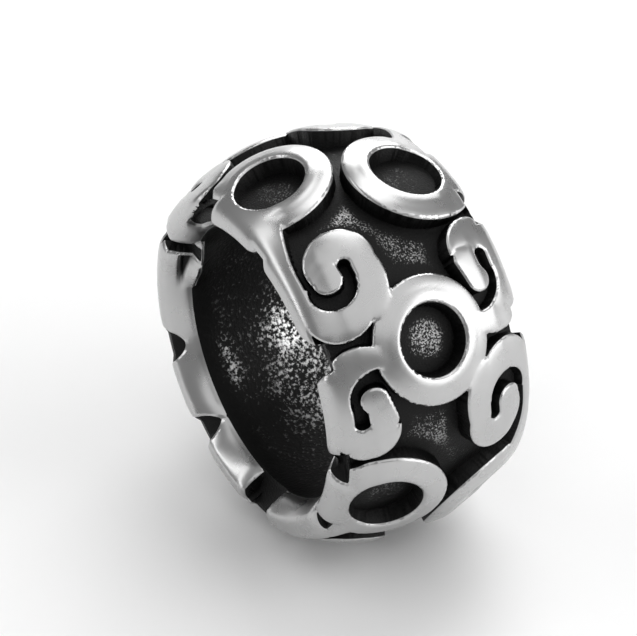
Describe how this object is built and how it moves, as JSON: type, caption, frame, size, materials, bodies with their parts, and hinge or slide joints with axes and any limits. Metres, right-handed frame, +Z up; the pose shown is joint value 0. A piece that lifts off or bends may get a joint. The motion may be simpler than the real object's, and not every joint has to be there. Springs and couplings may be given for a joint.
{
  "type": "beard bead",
  "caption": "Wide barrel-shaped metal bead with a large bore, raised circles and spiral scrolls over a dark sunk ground, for a lock of beard or hair.",
  "frame": {"origin": "centre of the bore, on its axis and midway between the two lips", "axes": "+Y along the bore axis; +Z up as the bead lies on its side, with one ring of the pattern straight underneath"},
  "size_m": [0.0114, 0.0062, 0.0114],
  "materials": {
    "steel": "cast and blackened; the raised figures and lips polished bright, the sunk ground and the bore left dark and grainy"
  },
  "bodies": {
    "root": {"bead": "steel"}
  },
  "joints": []
}
